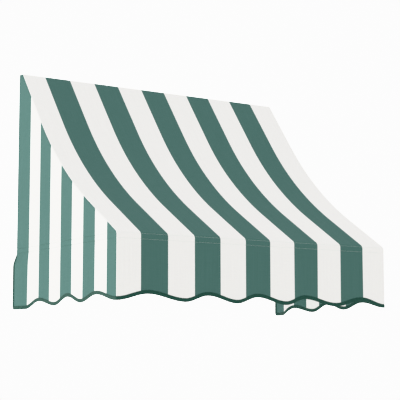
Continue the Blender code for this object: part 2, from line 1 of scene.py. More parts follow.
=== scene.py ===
# %% [markdown]
# # A striped window awning
#
# A fixed window awning is a small tent on a tube frame. Steel tubes, joined by cast corners, hang on
# the wall in brackets. A canvas cover is pulled over them: one long piece makes the roof and the front
# valance, and two flat pieces close the sides. A tape binds the wavy hem all the way round.
#
# The frame is loaded first. It fixes every size, so the cells below ask it where things are.

# %% Load the frame
import json
from bisect import bisect_right
from math import atan2, cos, degrees, exp, pi, radians, sin, sqrt, tan

import bmesh
import bpy
from mathutils import Matrix, Vector, noise
from mathutils.kdtree import KDTree

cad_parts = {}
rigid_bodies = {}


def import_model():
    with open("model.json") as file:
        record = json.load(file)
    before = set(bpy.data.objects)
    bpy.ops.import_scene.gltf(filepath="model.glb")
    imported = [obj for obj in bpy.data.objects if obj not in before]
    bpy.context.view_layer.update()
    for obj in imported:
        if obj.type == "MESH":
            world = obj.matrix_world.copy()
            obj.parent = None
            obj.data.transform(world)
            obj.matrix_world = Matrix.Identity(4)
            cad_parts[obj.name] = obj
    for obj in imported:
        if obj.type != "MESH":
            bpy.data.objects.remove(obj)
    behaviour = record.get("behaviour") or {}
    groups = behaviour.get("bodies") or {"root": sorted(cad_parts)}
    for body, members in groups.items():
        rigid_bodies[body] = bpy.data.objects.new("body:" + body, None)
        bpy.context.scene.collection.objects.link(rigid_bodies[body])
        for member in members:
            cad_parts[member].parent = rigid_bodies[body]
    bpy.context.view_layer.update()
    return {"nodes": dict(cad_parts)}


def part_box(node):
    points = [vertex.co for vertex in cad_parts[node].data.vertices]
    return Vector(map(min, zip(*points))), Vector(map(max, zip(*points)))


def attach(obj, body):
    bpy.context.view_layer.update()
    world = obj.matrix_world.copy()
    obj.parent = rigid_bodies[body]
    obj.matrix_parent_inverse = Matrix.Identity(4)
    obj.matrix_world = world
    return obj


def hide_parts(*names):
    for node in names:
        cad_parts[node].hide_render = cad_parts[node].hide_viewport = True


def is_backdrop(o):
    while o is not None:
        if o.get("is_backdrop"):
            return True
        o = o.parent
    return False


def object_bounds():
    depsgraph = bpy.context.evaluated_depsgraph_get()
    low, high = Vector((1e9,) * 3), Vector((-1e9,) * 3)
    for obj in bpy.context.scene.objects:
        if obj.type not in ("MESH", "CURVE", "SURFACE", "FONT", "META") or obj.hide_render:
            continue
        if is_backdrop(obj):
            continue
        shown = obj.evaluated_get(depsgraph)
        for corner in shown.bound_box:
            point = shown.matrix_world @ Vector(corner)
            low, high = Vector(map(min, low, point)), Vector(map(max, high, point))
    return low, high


for leftover in list(bpy.data.objects):
    bpy.data.objects.remove(leftover, do_unlink=True)

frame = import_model()

# %% [markdown]
# ## Sizes that the frame gives
#
# The front bar and the head rail are tubes along X. The middle of each tube's box lies on its centre
# line, and the box's height is the tube's diameter. The cover's box gives the width over the cloth, the
# lowest point of the hem and how far the cloth's outer face stands off the tubes.

# %% Read the sizes
X, Y, Z = Vector((1, 0, 0)), Vector((0, 1, 0)), Vector((0, 0, 1))


def middle(node):
    low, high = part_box(node)
    return (low + high) / 2


roof_low, roof_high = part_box("roof_cover")
bar_low, bar_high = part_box("front_bar")
WIDTH = roof_high.x - roof_low.x
HALF = WIDTH / 2
TUBE = (bar_high.z - bar_low.z) / 2
BAR = Vector((0, middle("front_bar").y, middle("front_bar").z))
HEAD = Vector((0, middle("head_rail").y, middle("head_rail").z))
FOOT = Vector((0, HEAD.y, BAR.z))
SIDE_X = middle("wall_post_right").x
HEM_Z = roof_low.z
REAR_EDGE = roof_high.y
CLOTH_OUT = BAR.y - roof_low.y
print(f"width {WIDTH:.4f}, tube radius {TUBE:.4f}, bar at {BAR.z:.3f}, head at {HEAD.z:.3f}")

# %% [markdown]
# ## The line of the roof
#
# The rafters leave the head rail steeply, pass through one long bend and reach the front bar on a
# flatter slope. The cloth follows that line, a little above it, and turns over both bars.
#
# Two slopes and one bend radius describe it. The rest is worked out: where the bend starts, where its
# centre lies, and the arcs round the bars. A piece of string of known length then measures along it.

# %% Slopes and bend
UPPER_SLOPE = radians(52.9)
LOWER_SLOPE = radians(32.0)
BEND_RADIUS = 1.2
SLOPE_CHANGE = UPPER_SLOPE - LOWER_SLOPE
BEND_TANGENT = BEND_RADIUS * tan(SLOPE_CHANGE / 2)


def slope_direction(angle):
    return Vector((0, cos(angle), sin(angle)))


def slope_normal(angle):
    return Vector((0, -sin(angle), cos(angle)))


def upper_straight():
    """Length of the straight rafter between the head rail and the bend."""
    span = HEAD - BAR
    meets = (span.z * cos(LOWER_SLOPE) - span.y * sin(LOWER_SLOPE)) / sin(SLOPE_CHANGE)
    return meets - BEND_TANGENT


BEND_START = HEAD - slope_direction(UPPER_SLOPE) * upper_straight()
BEND_CENTRE = BEND_START + slope_normal(UPPER_SLOPE) * BEND_RADIUS
print(f"straight {upper_straight():.3f} m, then a bend of {BEND_RADIUS} m radius")

# %% A string of points that can be measured


def arc(centre, radius, first, last, steps):
    """Points on a circle in the YZ plane. Angles run from +Y towards +Z."""
    angles = [first + (last - first) * i / steps for i in range(steps + 1)]
    return [centre + radius * Vector((0, cos(angle), sin(angle))) for angle in angles]


class Run:
    """A line through points, measured from its first point."""

    def __init__(self, points):
        self.points = [points[0]]
        self.marks = [0.0]
        for point in points[1:]:
            step = (point - self.points[-1]).length
            if step > 1e-7:
                self.points.append(point)
                self.marks.append(self.marks[-1] + step)
        self.length = self.marks[-1]

    def at(self, distance):
        """The point at a distance, and the line's direction there."""
        i = min(max(bisect_right(self.marks, distance) - 1, 0), len(self.points) - 2)
        start, end = self.points[i], self.points[i + 1]
        part = (distance - self.marks[i]) / (self.marks[i + 1] - self.marks[i])
        return start.lerp(end, part), (end - start).normalized()


def over_rafter(offset, steps=40):
    """The rafter's line from the head rail to the front bar, raised by an offset."""
    first, last = UPPER_SLOPE - pi / 2, LOWER_SLOPE - pi / 2
    start = HEAD + slope_normal(UPPER_SLOPE) * offset
    end = BAR + slope_normal(LOWER_SLOPE) * offset
    return [start, *arc(BEND_CENTRE, BEND_RADIUS - offset, first, last, steps), end]


def roof_line(offset):
    """The cloth's line: from the wall over the head rail, down the rafters, over the bar, down."""
    points = [Vector((0, REAR_EDGE, HEAD.z + offset))]
    points += arc(HEAD, offset, pi / 2, pi / 2 + UPPER_SLOPE, 14)
    points += over_rafter(offset)
    points += arc(BAR, offset, pi / 2 + LOWER_SLOPE, pi, 16)
    return points


roof_run = Run(roof_line(CLOTH_OUT) + [Vector((0, BAR.y - CLOTH_OUT, HEM_Z))])
print(f"cloth from wall to lowest hem: {roof_run.length:.3f} m")

# %% [markdown]
# ## The wavy hem
#
# The hem is cut by hand to a template, in scallops about 0.2 m long. Each scallop rises and falls as a
# cosine between a low and a high place. The lists hold those places, in metres from the front's left
# corner and, on the sides, from the front corner towards the wall.

# %% Scallops
SCALLOP = 0.0205
FRONT_WAVE = (0, 0.110, 0.239, 0.322, 0.429, 0.508, 0.617, 0.694, 0.818, 0.927, WIDTH)
FRONT_HEIGHTS = [SCALLOP * (i % 2) for i in range(len(FRONT_WAVE))]
SIDE_WAVE = (0, 0.117, 0.210, 0.295, 0.378, 0.486, 0.571)
SIDE_HEIGHTS = (0, SCALLOP, 0, SCALLOP, -0.003, 0.014, -0.009)


def wave_height(place, places, heights):
    """Height of the hem over its lowest point, at a place along it."""
    place = min(max(place, places[0]), places[-1])
    i = min(bisect_right(places, place) - 1, len(places) - 2)
    part = (place - places[i]) / (places[i + 1] - places[i])
    return heights[i] + (heights[i + 1] - heights[i]) * (1 - cos(pi * part)) / 2


def front_hem(x):
    return HEM_Z + wave_height(x + HALF, FRONT_WAVE, FRONT_HEIGHTS)


def side_hem(y):
    return HEM_Z + wave_height(y - roof_low.y, SIDE_WAVE, SIDE_HEIGHTS)


print("front scallops:", len(FRONT_WAVE) // 2, "side scallops:", len(SIDE_WAVE) // 2)

# %% [markdown]
# ## Helpers for materials
#
# A finish is built from nodes. One small function adds a node, gives it its settings, and either links
# or sets each socket. Colours are written as they look on a screen, in hex, and turned to linear light.

# %% Colour and node helpers


def linear(hex_colour):
    """An sRGB colour such as "#486f66" as linear red, green, blue and alpha."""
    parts = [int(hex_colour[i : i + 2], 16) / 255 for i in (1, 3, 5)]
    return (*[c / 12.92 if c <= 0.04045 else ((c + 0.055) / 1.055) ** 2.4 for c in parts], 1)


def add(tree, kind, sockets=None, **settings):
    """Adds a node. sockets maps an input to the output it comes from, or to its value."""
    node = tree.nodes.new(kind)
    for name, value in settings.items():
        setattr(node, name, value)
    for socket, source in (sockets or {}).items():
        if isinstance(source, bpy.types.NodeSocket):
            tree.links.new(source, node.inputs[socket])
        else:
            node.inputs[socket].default_value = source
    return node.outputs[0] if len(node.outputs) == 1 else node.outputs


def new_finish(name, **values):
    """A material with a Principled shader whose plain values are set on its own sockets."""
    material = bpy.data.materials.new(name)
    material.use_nodes = True
    shader = material.node_tree.nodes["Principled BSDF"]
    for socket, value in values.items():
        shader.inputs[socket.replace("_", " ")].default_value = value
    return material, material.node_tree, shader


def plug(tree, source, shader, socket):
    tree.links.new(source, shader.inputs[socket])


# %% [markdown]
# ## Striped canvas
#
# Awning canvas is a plain weave of spun acrylic yarn, dyed in the fibre, so the colour goes right
# through and looks the same on both faces. To the eye it is matt and even, with a fine grain of
# threads, faint streaks along the warp where a yarn is thicker, and a little fuzz that catches light.
# The streaks are the yarn's own uneven tone. The grain of threads is painted shade where the weave
# lies low and painted light on its crowns.
#
# Every cloth piece below carries a UV map named "cut", in metres on the flat cloth. The stripes count
# along its first number and run along its second, so they follow the cloth over every bend.

# %% Canvas
THREAD = 0.0015  # three real threads of 0.5 mm, drawn as one so that the weave can be seen


def weave(tree, across, along, spacing):
    """Height of a plain weave: each thread goes over one crossing thread and under the next."""
    turn = 2 * pi / spacing
    waves = []
    for distance in (across, along):
        angle = add(tree, "ShaderNodeMath", {0: distance, 1: turn}, operation="MULTIPLY")
        waves.append(add(tree, "ShaderNodeMath", {0: angle}, operation="SINE"))
    return add(tree, "ShaderNodeMath", {0: waves[0], 1: waves[1]}, operation="MULTIPLY")


def yarn_streaks(tree, across, along, spacing, length):
    """Uneven yarn: noise that changes from thread to thread but hardly along a thread."""
    place = add(tree, "ShaderNodeCombineXYZ", {"X": across, "Y": along})
    pull = (1 / spacing, 1 / length, 1)
    stretched = add(tree, "ShaderNodeVectorMath", {0: place, 1: pull}, operation="MULTIPLY")[0]
    return add(tree, "ShaderNodeTexNoise", {"Vector": stretched, "Scale": 1.0, "Detail": 2.0})[0]


def cut_distances(tree):
    """The two distances of the flat cut, in metres: across the warp and along it."""
    cut = add(tree, "ShaderNodeUVMap", uv_map="cut")
    return add(tree, "ShaderNodeSeparateXYZ", {0: cut})[:2]


def striped_canvas(name, pitch, green_width, first_green, seam_allowance=0.0):
    """Stripes of even pitch. first_green is where one green stripe starts across the cloth.

    Up to the seam allowance, the cloth keeps the colour that it has there.
    """
    material, tree, shader = new_finish(name, Roughness=0.9, Specular_IOR_Level=0.15)
    across, along = cut_distances(tree)
    counted = add(tree, "ShaderNodeMath", {0: across, 1: seam_allowance}, operation="MAXIMUM")
    moved = add(tree, "ShaderNodeMath", {0: counted, 1: first_green}, operation="SUBTRACT")
    stripe = add(tree, "ShaderNodeMath", {0: moved, 1: pitch}, operation="DIVIDE")
    share = add(tree, "ShaderNodeMath", {0: stripe}, operation="FRACT")
    is_green = add(tree, "ShaderNodeMath", {0: share, 1: green_width / pitch}, operation="LESS_THAN")
    dyed = add(tree, "ShaderNodeMix", {0: is_green, 6: WHITE_YARN, 7: GREEN_YARN}, data_type="RGBA")[2]
    warp = yarn_streaks(tree, across, along, 2 * THREAD, 0.15)
    weft = yarn_streaks(tree, along, across, 2 * THREAD, 0.05)
    threads = weave(tree, across, along, 2 * THREAD)
    light = 1.0
    # The warp and weft streaks are the yarn's own tone. The weave's swing is painted shade where the weave
    # lies low and painted light on its crowns.
    for pattern, swing in ((warp, 0.14), (weft, 0.07), (threads, 0.04)):
        low = 1 - (0 if pattern is threads else swing / 2)
        even = add(tree, "ShaderNodeMath", {0: pattern, 1: swing, 2: low}, operation="MULTIPLY_ADD")
        light = add(tree, "ShaderNodeMath", {0: light, 1: even}, operation="MULTIPLY")
    tinted = add(tree, "ShaderNodeVectorMath", {0: dyed, "Scale": light}, operation="SCALE")[0]
    plug(tree, tinted, shader, "Base Color")
    bump = add(tree, "ShaderNodeBump", {"Height": threads, "Strength": 0.5, "Distance": 0.0003})
    plug(tree, bump, shader, "Normal")
    return material


GREEN_YARN = linear("#5c7b76")
WHITE_YARN = linear("#fdfcfb")
ROOF_PITCH = 0.1892
SIDE_PITCH = 0.1441
roof_canvas = striped_canvas("striped_canvas_roof", ROOF_PITCH, 0.0943, 0.0833)
side_canvas = striped_canvas("striped_canvas_side", SIDE_PITCH, 0.0725, 0.0157, 0.0158)
print("stripe pitch on the roof and sides:", ROOF_PITCH, SIDE_PITCH)

# %% [markdown]
# ## Binding tape, webbing and thread
#
# The hem is bound in a narrow woven tape of the same green, a shade darker because its ribs lie closer.
# The straps inside are hook-and-loop webbing, off-white, with coarser ribs. Both are ribbed cloths:
# the ribs run across the tape, so they count along it. The thread is a twisted polyester, slightly
# shiny. Its twist is too fine to draw, so its light and shade are painted in as an uneven brightness.

# %% Tape, webbing and thread


def ribbed_cloth(name, colour, rib, unevenness):
    """A narrow woven cloth whose ribs lie across it, one rib for each length rib."""
    material, tree, shader = new_finish(name, Roughness=0.8, Sheen_Weight=0.15, Sheen_Roughness=0.4)
    across, along = cut_distances(tree)
    angle = add(tree, "ShaderNodeMath", {0: along, 1: 2 * pi / rib}, operation="MULTIPLY")
    ribs = add(tree, "ShaderNodeMath", {0: angle}, operation="SINE")
    streaks = yarn_streaks(tree, along, across, rib, 0.01)
    lowest = 1 - unevenness / 2
    uneven = add(tree, "ShaderNodeMath", {0: streaks, 1: unevenness, 2: lowest}, operation="MULTIPLY_ADD")
    # Painted shade and painted light: the colour is darker between the ribs and lighter on them. The
    # streaks are the yarn's own uneven tone.
    shaded = add(tree, "ShaderNodeMath", {0: ribs, 1: 0.08, 2: uneven}, operation="MULTIPLY_ADD")
    dye = linear(colour)[:3]
    tinted = add(tree, "ShaderNodeVectorMath", {0: dye, "Scale": shaded}, operation="SCALE")[0]
    plug(tree, tinted, shader, "Base Color")
    bump = add(tree, "ShaderNodeBump", {"Height": ribs, "Strength": 0.6, "Distance": 0.0002})
    plug(tree, bump, shader, "Normal")
    return material


def sewing_thread(name, colour):
    material, tree, shader = new_finish(name, Roughness=0.45, Sheen_Weight=0.2)
    place = add(tree, "ShaderNodeTexCoord")[3]
    # Painted light and shade of the thread's twist: a noise makes its colour brighter and darker along it.
    twist = add(tree, "ShaderNodeTexNoise", {"Vector": place, "Scale": 1 / 0.003, "Detail": 1.0})[0]
    uneven = add(tree, "ShaderNodeMath", {0: twist, 1: 0.3, 2: 0.85}, operation="MULTIPLY_ADD")
    dye = linear(colour)[:3]
    tinted = add(tree, "ShaderNodeVectorMath", {0: dye, "Scale": uneven}, operation="SCALE")[0]
    plug(tree, tinted, shader, "Base Color")
    return material


binding_tape = ribbed_cloth("woven_binding_tape", "#30534a", 0.0016, 0.25)
webbing = ribbed_cloth("hook_and_loop_webbing", "#dedcd6", 0.0022, 0.12)
pale_thread = sewing_thread("pale_polyester_thread", "#c9d6cf")
# On the side rows this dark green thread is painted shade of their grooves. On the binding it is the
# thread's own colour.
dark_thread_and_groove_shade = sewing_thread("dark_polyester_thread_and_groove_shade", "#2c5446")
print("tape, webbing and thread ready")

# %% [markdown]
# ## Powder coat, cast aluminium and zinc plate
#
# The tubes are steel, blasted and powder coated white. The powder melts into a film with a slight
# orange peel, satin rather than glossy. The corners are sand-cast aluminium, tumbled and left bare: dull,
# a little grainy, brighter where the tumbling rubbed them. Brackets and screws are zinc plated, which
# shows as soft pale patches of slightly different grey.

# %% Metal finishes


def powder_coat(name, colour):
    material, tree, shader = new_finish(name, Specular_IOR_Level=0.5, Coat_Weight=0.15, Coat_Roughness=0.3)
    place = add(tree, "ShaderNodeTexCoord")[3]
    peel = add(tree, "ShaderNodeTexNoise", {"Vector": place, "Scale": 1 / 0.0022, "Detail": 2.0})[0]
    dust = add(tree, "ShaderNodeTexNoise", {"Vector": place, "Scale": 1 / 0.06, "Detail": 5.0})[0]
    rough = add(tree, "ShaderNodeMath", {0: dust, 1: 0.25, 2: 0.3}, operation="MULTIPLY_ADD")
    uneven = add(tree, "ShaderNodeMath", {0: dust, 1: 0.14, 2: 0.93}, operation="MULTIPLY_ADD")
    dye = linear(colour)[:3]
    tinted = add(tree, "ShaderNodeVectorMath", {0: dye, "Scale": uneven}, operation="SCALE")[0]
    plug(tree, tinted, shader, "Base Color")
    plug(tree, rough, shader, "Roughness")
    bump = add(tree, "ShaderNodeBump", {"Height": peel, "Strength": 0.25, "Distance": 0.0002})
    plug(tree, bump, shader, "Normal")
    return material


def bare_metal(name, dull, bright, grain, roughness, relief):
    """Bare metal whose dull and bright greys mix in patches, with a fine grain."""
    material, tree, shader = new_finish(name, Metallic=1.0)
    place = add(tree, "ShaderNodeTexCoord")[3]
    patches = add(tree, "ShaderNodeTexNoise", {"Vector": place, "Scale": 1 / 0.012, "Detail": 4.0})[0]
    sand = add(tree, "ShaderNodeTexNoise", {"Vector": place, "Scale": 1 / grain, "Detail": 2.0})[0]
    grey = add(tree, "ShaderNodeMix", {0: patches, 6: linear(dull), 7: linear(bright)}, data_type="RGBA")[2]
    smoothest = roughness - 0.12
    rough = add(tree, "ShaderNodeMath", {0: patches, 1: 0.25, 2: smoothest}, operation="MULTIPLY_ADD")
    plug(tree, grey, shader, "Base Color")
    plug(tree, rough, shader, "Roughness")
    bump = add(tree, "ShaderNodeBump", {"Height": sand, "Strength": relief, "Distance": 0.0003})
    plug(tree, bump, shader, "Normal")
    return material


white_coat = powder_coat("satin_white_powder_coat", "#e9e8e4")
cast_aluminium = bare_metal("sand_cast_aluminium", "#a3a6a8", "#c6c9ca", 0.0011, 0.5, 0.45)
zinc_plate = bare_metal("bright_zinc_plate", "#a8adac", "#ccd1cf", 0.0006, 0.36, 0.12)
print("metal finishes ready")

# %% [markdown]
# ## Cutting and hanging cloth
#
# A sewn cover starts flat on a table. The same is done here. A grid is a flat cut of cloth, with a thread
# line wherever the shape needs one. Each point of it is then laid in its place in the air, and the flat
# distances stay behind as the "cut" UV map. A Solidify modifier gives the cloth its thickness.

# %% Cloth helpers
CANVAS = 0.0007  # canvas with its coating


def spaced(first, last, count):
    """Even steps from first, up to but not including last."""
    return [first + (last - first) * i / count for i in range(count)]


def show(name, bm, material, smooth=35):
    """Makes a mesh object from a bmesh, riding on the frame."""
    mesh = bpy.data.meshes.new(name)
    bm.to_mesh(mesh)
    bm.free()
    mesh.shade_smooth()
    if smooth < 180:
        mesh.set_sharp_from_angle(angle=radians(smooth))
    mesh.materials.append(material)
    piece = bpy.data.objects.new(name, mesh)
    bpy.context.scene.collection.objects.link(piece)
    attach(piece, "root")
    return piece


def thicken(piece, thickness, offset=-1):
    """Cloth or sheet metal thickness, inwards from the faces unless the offset says otherwise."""
    solidify = piece.modifiers.new("thickness", "SOLIDIFY")
    solidify.thickness = thickness
    solidify.offset = offset
    solidify.use_even_offset = False
    return piece


def cut_cloth(name, across, along, lay, outwards, material):
    """A flat grid of cloth. lay(u, v) gives a point's place in the air and on the flat cut."""
    bm = bmesh.new()
    bmesh.ops.create_grid(bm, x_segments=len(across) - 1, y_segments=len(along) - 1, size=0.5)
    cut = bm.loops.layers.uv.new("cut")
    flat = {}
    for vert in bm.verts:
        u = across[round((vert.co.x + 0.5) * (len(across) - 1))]
        v = along[round((vert.co.y + 0.5) * (len(along) - 1))]
        vert.co, flat[vert] = lay(u, v)
    for face in bm.faces:
        for loop in face.loops:
            loop[cut].uv = flat[loop.vert]
    bm.normal_update()
    bm.faces.ensure_lookup_table()
    if bm.faces[0].normal.dot(outwards) < 0:
        bmesh.ops.reverse_faces(bm, faces=bm.faces)
    return show(name, bm, material, 180)


print("canvas thickness:", CANVAS)

# %% [markdown]
# ## How the cover hangs
#
# Real cloth is never flat. Between the rafters the roof sags by a few millimetres. The valance hangs
# free, so it moves a little in and out, more towards its hem. Where two rows of stitches cross the
# cloth, they pull it into shallow grooves. At the rear, each side valance has no rail to hold it and
# curls away from the wall.
#
# Each of these is a small shift that depends only on the place. The tape and the stitches use the same
# shifts, so they stay on the cloth.

# %% Shifts of the front and roof
EDGE_ROUND = 0.0025  # radius of the sewn edges between panels
GROOVE = 0.00045
GROOVE_HALF = 0.0013
STITCH_ABOVE = 0.0063  # upper row over the bar's centre, lower row under it
STITCH_BELOW = 0.0104
SAG = 0.003
FLUTTER = 0.0022


def edge_drop(distance):
    """How far a rounded edge has fallen at a distance from the panel's corner line."""
    if distance >= EDGE_ROUND:
        return 0.0
    return EDGE_ROUND - sqrt(EDGE_ROUND**2 - (EDGE_ROUND - distance) ** 2)


def groove(distance):
    return GROOVE * exp(-((distance / GROOVE_HALF) ** 2))


def fade(value, first, last):
    """0 before first, 1 after last, smooth between them."""
    part = min(max((value - first) / (last - first), 0.0), 1.0)
    return part * part * (3 - 2 * part)


def front_shift(x, z):
    """How far the free valance stands forward at a place, from its soft folds."""
    down = fade(BAR.z - z, STITCH_BELOW, BAR.z - HEM_Z)
    inboard = fade(HALF - abs(x), 0.0, 0.1)
    folds = noise.noise(Vector((x * 5.5, 0.3, z * 1.5))) + 0.4 * noise.noise(Vector((x * 17, 4.1, z * 3)))
    return FLUTTER * down * inboard * folds


def pucker(place, distance):
    """Fine uneven puckers beside a row of stitches."""
    ripple = noise.noise(Vector((place * 55, distance * 20, 7.7)))
    return 0.0004 * ripple * exp(-((distance / 0.007) ** 2))


print("roof sag", SAG, "valance folds", FLUTTER)

# %% Shifts of the sides
FLARE_OUT = 0.022
FLARE_FORWARD = 0.020
FLARE_LENGTH = 0.13
FLARE_FALL = 0.05
FLARE_TOP = 0.010


def flared(point, side):
    """Moves a point of a side valance out and forward near its free rear edge."""
    back = fade(point.y, REAR_EDGE - FLARE_LENGTH, REAR_EDGE)
    down = fade(BAR.z - FLARE_TOP - point.z, 0, FLARE_FALL)
    return point + Vector((side * FLARE_OUT, -FLARE_FORWARD, 0)) * (back * down)


def side_row(y, row):
    """Height of a row of stitches on a side. Row 0 is the upper one. Both rise to the front."""
    rear = (-0.0007, -0.0155)[row]
    front = (STITCH_ABOVE, -STITCH_BELOW)[row]
    return BAR.z + rear + (front - rear) * (y - REAR_EDGE) / (roof_low.y - REAR_EDGE)


def side_shift(y, z):
    """How far a side stands out at a place: soft folds below the rail, slack between the tubes above."""
    below = fade(side_row(y, 1) - z, 0.0, BAR.z - HEM_Z)
    above = fade(z - BAR.z, 0.03, 0.2) * fade(REAR_EDGE - y, 0.03, 0.15)
    forward = fade(y - roof_low.y, 0.0, 0.08)
    folds = noise.noise(Vector((y * 6.5, 2.2, z * 1.4)))
    return FLUTTER * forward * (below * folds + 0.3 * above * noise.noise(Vector((y * 8, 1.1, z * 5))))


print("rear corners of the sides curl out by", FLARE_OUT)

# %% [markdown]
# ## Roof and front valance
#
# The roof and the valance are one cut of canvas, as wide as the awning. It starts at the wall, turns
# over the head rail, follows the rafters, turns over the front bar and ends in the scalloped hem.
#
# The thread lines lie close together where the cloth turns or is stitched, and wider apart elsewhere.
# Below the stitches the lines spread or close up, so that the last one is the hem.

# %% Thread lines of the roof
AT_RAIL = REAR_EDGE - HEAD.y
PAST_RAIL = AT_RAIL + CLOTH_OUT * UPPER_SLOPE
DROP = BAR.z - HEM_Z
AT_BAR = roof_run.length - DROP
BEFORE_BAR = AT_BAR - CLOTH_OUT * (pi / 2 - LOWER_SLOPE)
UPPER_ROW = AT_BAR - CLOTH_OUT * atan2(STITCH_ABOVE, sqrt(CLOTH_OUT**2 - STITCH_ABOVE**2))
LOWER_ROW = AT_BAR + STITCH_BELOW
FREE_FROM = LOWER_ROW + 2 * GROOVE_HALF

roof_lines = spaced(0, AT_RAIL, 3) + spaced(AT_RAIL, PAST_RAIL, 7) + spaced(PAST_RAIL, BEFORE_BAR, 110)
roof_lines += spaced(BEFORE_BAR, UPPER_ROW - 2 * GROOVE_HALF, 3)
roof_lines += spaced(UPPER_ROW - 2 * GROOVE_HALF, UPPER_ROW + 2 * GROOVE_HALF, 6)
roof_lines += spaced(UPPER_ROW + 2 * GROOVE_HALF, LOWER_ROW - 2 * GROOVE_HALF, 5)
roof_lines += spaced(LOWER_ROW - 2 * GROOVE_HALF, FREE_FROM, 6)
roof_lines += spaced(FREE_FROM, roof_run.length, 26) + [roof_run.length]
rounded = [HALF - EDGE_ROUND * (1 - sin(radians(angle))) for angle in (45, 30, 15)]
inner = HALF - EDGE_ROUND
roof_columns = [-x for x in rounded] + spaced(-inner, inner, 156) + [inner] + rounded[::-1]
print("grid:", len(roof_columns), "by", len(roof_lines))

# %% Lay the roof


def roof_lay(x, line):
    """A point of the roof cloth: its place, and its distances on the flat cut."""
    if line > FREE_FROM:
        share = (line - FREE_FROM) / (roof_run.length - FREE_FROM)
        line = FREE_FROM + share * (roof_run.length - FREE_FROM - (front_hem(x) - HEM_Z))
    point, run = roof_run.at(line)
    outwards = Vector((0, run.z, -run.y))
    lift = front_shift(x, point.z) - edge_drop(HALF - abs(x))
    for row in (UPPER_ROW, LOWER_ROW):
        lift += pucker(x, line - row) * fade(HALF - abs(x), 0.0, 0.03) - groove(line - row)
    span = (line - PAST_RAIL) / (BEFORE_BAR - PAST_RAIL)
    if 0 < span < 1:
        slack = 1 - (x / HALF) ** 2
        lift -= SAG * sin(pi * span) * slack
        lift += 0.3 * SAG * sin(pi * span) * slack * noise.noise(Vector((x * 6, span * 5, 0.5)))
    return X * x + point + outwards * lift, (x + HALF, line)


roof = cut_cloth("canvas_roof_and_valance", roof_columns, roof_lines, roof_lay, Z, roof_canvas)
thicken(roof, CANVAS)
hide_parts("roof_cover")
print("roof faces:", len(roof.data.polygons))

# %% [markdown]
# ## Side panels
#
# A side panel is flat. Its top edge follows the roof line, its front edge hangs from the bar and its hem
# is scalloped. It could be a grid too, but the curved top would squeeze the lines, so it is cut like the
# real one: the outline first, then inset rings that round the sewn edge, then straight cuts across it.
#
# Two of the cuts follow the rows of stitches, because the cloth is pulled in there.

# %% Outline of a side
SIDE_GAP = 0.0001  # between the two cloths at the sewn edge
SIDE_OFFSET = CLOTH_OUT - EDGE_ROUND * (1 - sin(pi / 4)) - SIDE_GAP
HEM_CORNER = 0.011
CUT_STEP = 0.009
corner_line = KDTree(1 + int(roof_run.length / 0.0004))
for number in range(1 + int(roof_run.length / 0.0004)):
    corner_line.insert(roof_run.at(number * 0.0004)[0], number)
corner_line.balance()


def side_outline():
    """From the roof's rear corner, forward and down, then back along the hem to the wall."""
    points = roof_line(SIDE_OFFSET)
    front, rear = points[-1].y, REAR_EDGE - HEM_CORNER
    points += [Vector((0, y, side_hem(y))) for y in spaced(front, rear, 130)]
    centre = Vector((0, rear, side_hem(rear) + HEM_CORNER))
    return points + arc(centre, HEM_CORNER, -pi / 2, 0, 6)


def side_cuts():
    """Planes (point, normal) that cut a side panel into small faces."""
    cuts = [(Y * y, Y) for y in spaced(roof_low.y + CUT_STEP / 2, REAR_EDGE, int(0.64 / CUT_STEP))]
    free_top, free_low = BAR.z - 0.03, HEM_Z
    cuts += [(Z * z, Z) for z in spaced(free_low, free_top, 20)]
    cuts += [(Z * z, Z) for z in spaced(BAR.z + 0.012, HEAD.z, int(0.56 / CUT_STEP))]
    rise = Vector((0, roof_low.y - REAR_EDGE, side_row(roof_low.y, 0) - side_row(REAR_EDGE, 0)))
    across_row = Vector((0, -rise.z, rise.y)).normalized()
    for row in (0, 1):
        start = Vector((0, REAR_EDGE, side_row(REAR_EDGE, row)))
        cuts += [(start + Z * GROOVE_HALF * step, across_row) for step in (-2, -1, -0.5, 0, 0.5, 1, 2)]
    return cuts


print("outline points:", len(side_outline()), "cuts:", len(side_cuts()))

# %% Lay the sides


def side_place(y, z, side):
    """The place of a side panel's outer face at y, z of the flat panel."""
    lift = side_shift(y, z) - edge_drop(corner_line.find(Vector((0, y, z)))[2])
    for row in (0, 1):
        below = z - side_row(y, row)
        lift += pucker(y + side, below) * fade(y - roof_low.y, 0.01, 0.04) - groove(below)
    return flared(Vector((side * (HALF + lift), y, z)), side)


def side_panel(side, label):
    bm = bmesh.new()
    panel = bm.faces.new([bm.verts.new(point) for point in side_outline()])
    for _ in range(3):
        bmesh.ops.inset_region(bm, faces=[panel], thickness=EDGE_ROUND / 4, use_even_offset=True)
    for place, normal in side_cuts():
        everything = list(bm.verts) + list(bm.edges) + list(bm.faces)
        bmesh.ops.bisect_plane(bm, geom=everything, dist=1e-5, plane_co=place, plane_no=normal)
    bmesh.ops.triangulate(bm, faces=[face for face in bm.faces if len(face.verts) > 4])
    cut = bm.loops.layers.uv.new("cut")
    for face in bm.faces:
        for loop in face.loops:
            loop[cut].uv = (REAR_EDGE - loop.vert.co.y, loop.vert.co.z - HEM_Z)
    for vert in bm.verts:
        vert.co = side_place(vert.co.y, vert.co.z, side)
    bm.normal_update()
    widest = max(bm.faces, key=lambda face: face.calc_area())
    if widest.normal.x * side < 0:
        bmesh.ops.reverse_faces(bm, faces=bm.faces)
    piece = show(f"canvas_side_{label}", bm, side_canvas, 180)
    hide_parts(f"side_cover_{label}")
    return thicken(piece, CANVAS)


sides = {label: side_panel(side, label) for side, label in ((-1, "left"), (1, "right"))}

# %% [markdown]
# ## Edge binding
#
# A tape about 22 mm wide is folded over the raw edge and sewn through both legs. It runs from the free
# rear edge of one side, round its lower corner, along that hem, across the front and back to the other
# wall edge.
#
# It is one long grid. Across, it follows the fold: up the outside, round the edge, up the inside. Along,
# it follows stations on the hem. Each station says where the cloth's edge is, which way is out and which
# way is down off the edge.

# %% Route of the binding
TAPE = 0.0005
TAPE_LEG = 0.0105
TAPE_TOP = BAR.z - FLARE_TOP - 0.014
HALF_CANVAS = CANVAS / 2


